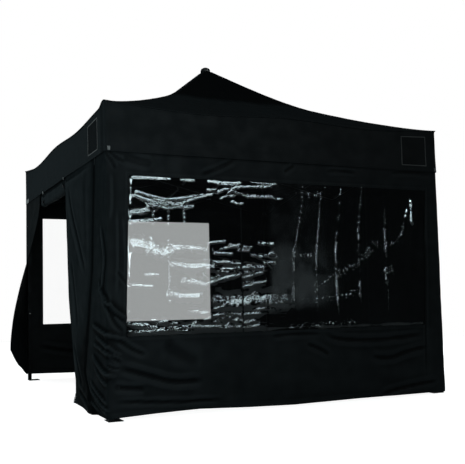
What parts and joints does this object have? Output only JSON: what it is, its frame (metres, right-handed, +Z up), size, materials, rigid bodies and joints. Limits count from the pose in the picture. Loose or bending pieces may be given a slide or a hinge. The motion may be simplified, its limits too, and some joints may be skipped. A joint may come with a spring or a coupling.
{
  "type": "pop-up canopy tent",
  "caption": "Pop-up canopy tent with a peaked cloth roof, walls with clear film windows, a rolled-up door and telescoping legs.",
  "frame": {"origin": "middle of the tent's box on the ground, 120 mm to the left of the middle of the footprint, because the open door flap reaches 240 mm beyond the left side", "axes": "+Z up, the front wall with the film window faces -Y, the doorway side faces -X"},
  "size_m": [3.24, 3, 3.112],
  "materials": {
    "canopy_cloth": "matt coated polyester",
    "wall_cloth": "matt coated polyester",
    "window_film": "clear glossy film",
    "leg_tube": "satin anodised",
    "frame_bar": "satin anodised",
    "bracket_plastic": "moulded",
    "cap_plastic": "moulded"
  },
  "bodies": {
    "tent": {"roof_front": "canopy_cloth", "roof_right": "canopy_cloth", "roof_back": "canopy_cloth", "roof_left": "canopy_cloth", "valance_front": "canopy_cloth", "valance_right": "canopy_cloth", "valance_back": "canopy_cloth", "valance_left": "canopy_cloth", "peak_cap": "cap_plastic", "centre_mast": "frame_bar", "upper_leg_front_left": "leg_tube", "corner_bracket_front_left": "bracket_plastic", "sliding_bracket_front_left": "bracket_plastic", "upper_leg_front_right": "leg_tube", "corner_bracket_front_right": "bracket_plastic", "sliding_bracket_front_right": "bracket_plastic", "upper_leg_back_right": "leg_tube", "corner_bracket_back_right": "bracket_plastic", "sliding_bracket_back_right": "bracket_plastic", "upper_leg_back_left": "leg_tube", "corner_bracket_back_left": "bracket_plastic", "sliding_bracket_back_left": "bracket_plastic", "truss_front": "frame_bar", "inner_truss_front": "frame_bar", "truss_right": "frame_bar", "inner_truss_right": "frame_bar", "truss_back": "frame_bar", "inner_truss_back": "frame_bar", "truss_left": "frame_bar", "inner_truss_left": "frame_bar", "front_wall_top": "wall_cloth", "front_wall_skirt": "wall_cloth", "front_wall_left_strip": "wall_cloth", "front_wall_right_strip": "wall_cloth", "front_window_film": "window_film", "back_wall_top": "wall_cloth", "back_wall_skirt": "wall_cloth", "back_wall_left_strip": "wall_cloth", "back_wall_right_strip": "wall_cloth", "back_window_film": "window_film", "right_wall": "wall_cloth", "left_wall_near_panel": "wall_cloth", "left_wall_header": "wall_cloth", "left_wall_far_flap": "wall_cloth", "rolled_door": "wall_cloth"},
    "front_left_leg": {"lower_leg_front_left": "leg_tube"},
    "front_right_leg": {"lower_leg_front_right": "leg_tube"},
    "back_right_leg": {"lower_leg_back_right": "leg_tube"},
    "back_left_leg": {"lower_leg_back_left": "leg_tube"}
  },
  "joints": [
    {"name": "front_left_leg_slide", "type": "slide", "parent": "tent", "child": "front_left_leg", "axis": [0, 0, 1], "range_m": [-0.2, 0.62]},
    {"name": "front_right_leg_slide", "type": "slide", "parent": "tent", "child": "front_right_leg", "axis": [0, 0, 1], "range_m": [-0.2, 0.62]},
    {"name": "back_right_leg_slide", "type": "slide", "parent": "tent", "child": "back_right_leg", "axis": [0, 0, 1], "range_m": [-0.2, 0.62]},
    {"name": "back_left_leg_slide", "type": "slide", "parent": "tent", "child": "back_left_leg", "axis": [0, 0, 1], "range_m": [-0.2, 0.62]}
  ]
}
